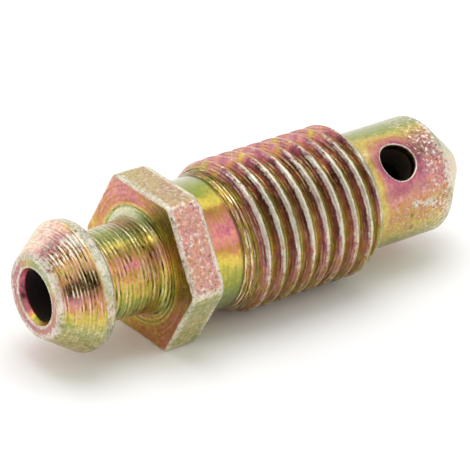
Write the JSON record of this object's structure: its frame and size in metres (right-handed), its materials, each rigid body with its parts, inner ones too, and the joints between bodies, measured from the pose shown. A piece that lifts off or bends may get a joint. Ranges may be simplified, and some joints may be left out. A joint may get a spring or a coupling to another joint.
{
  "type": "bleed valve",
  "caption": "Hollow bleed screw with a barbed hose nipple, a hexagon, a fine right-hand thread, and a plain tail with a cross hole and a conical seat.",
  "frame": {"origin": "centre of the hose nipple's end face, on the screw's axis", "axes": "+X along the screw's axis from the nipple to the conical seat, +Z out of the upper hexagon flat, so the screw lies on its lower flat"},
  "size_m": [0.0357, 0.0124, 0.011],
  "materials": {
    "chromated_steel": "satin"
  },
  "bodies": {
    "root": {"bleed_screw": "chromated_steel"}
  },
  "joints": []
}
